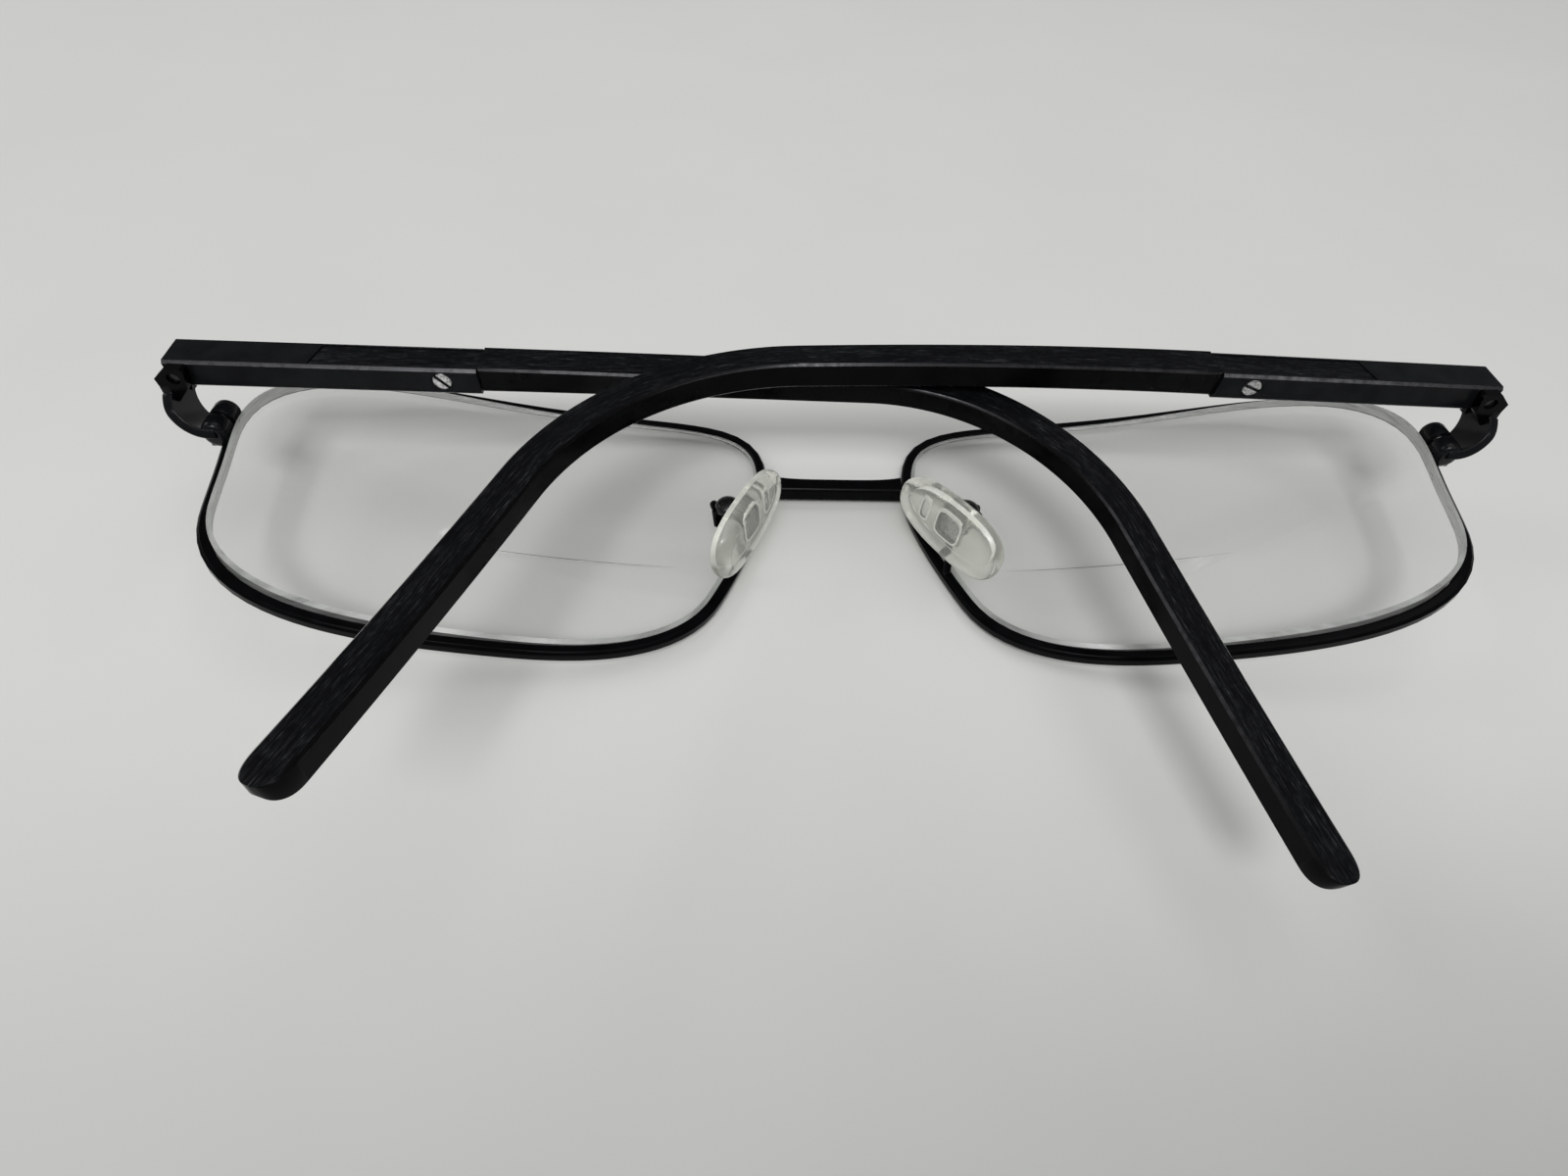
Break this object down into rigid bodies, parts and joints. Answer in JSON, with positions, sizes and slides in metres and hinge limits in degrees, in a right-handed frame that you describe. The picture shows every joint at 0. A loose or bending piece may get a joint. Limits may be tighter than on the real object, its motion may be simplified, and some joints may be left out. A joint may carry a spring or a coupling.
{
  "type": "eyeglass frame",
  "caption": "Full-rim metal eyeglass frame with flat-top bifocal lenses, folding temples, screw-closed rims and rocking nose pads, lying folded on its front",
  "frame": {"origin": "centre of the rectangle that the folded frame covers, on the table that it lies on", "axes": "+X to the wearer's right, along the front; +Y towards the brow; +Z away from the table, out of the backs of the lenses"},
  "size_m": [0.1398, 0.0614, 0.0249],
  "materials": {
    "black_metal": "satin black coating",
    "brushed_black": "lengthwise brushed, smoky black",
    "clear_lens": "clear, polished",
    "pad_silicone": "clear, slightly yellow",
    "steel": "machined"
  },
  "bodies": {
    "front": {"bridge": "black_metal", "left_eyewire": "black_metal", "right_eyewire": "black_metal", "left_lens": "clear_lens", "right_lens": "clear_lens", "left_endpiece": "black_metal", "right_endpiece": "black_metal", "left_closing_block": "black_metal", "right_closing_block": "black_metal", "left_closing_screw": "black_metal", "right_closing_screw": "black_metal", "left_hinge_screw": "black_metal", "right_hinge_screw": "black_metal", "left_pad_arm": "black_metal", "right_pad_arm": "black_metal", "left_pad_screw": "steel", "right_pad_screw": "steel"},
    "left_temple": {"left_temple_front": "black_metal", "left_temple_arm": "brushed_black", "left_temple_screw": "steel"},
    "right_temple": {"right_temple_front": "black_metal", "right_temple_arm": "brushed_black", "right_temple_screw": "steel"},
    "left_nose_pad": {"left_nose_pad": "pad_silicone", "left_pad_mount": "steel"},
    "right_nose_pad": {"right_nose_pad": "pad_silicone", "right_pad_mount": "steel"}
  },
  "joints": [
    {"name": "left_temple_hinge", "type": "hinge", "parent": "front", "child": "left_temple", "pos_m": [-0.06803, 0.02102, 0.01807], "axis": [0, -1, 0], "range_deg": [0, 94.2]},
    {"name": "right_temple_hinge", "type": "hinge", "parent": "front", "child": "right_temple", "pos_m": [0.06803, 0.02102, 0.01807], "axis": [0, 1, 0], "range_deg": [0, 90.5]},
    {"name": "left_pad_rock", "type": "hinge", "parent": "front", "child": "left_nose_pad", "pos_m": [-0.01224, 0.00839, 0.00952], "axis": [0.079, -0.0368, -0.9962], "range_deg": [-3.5, 12.5]},
    {"name": "right_pad_rock", "type": "hinge", "parent": "front", "child": "right_nose_pad", "pos_m": [0.01224, 0.00839, 0.00952], "axis": [0.079, 0.0368, 0.9962], "range_deg": [-15.5, 0.5]}
  ]
}
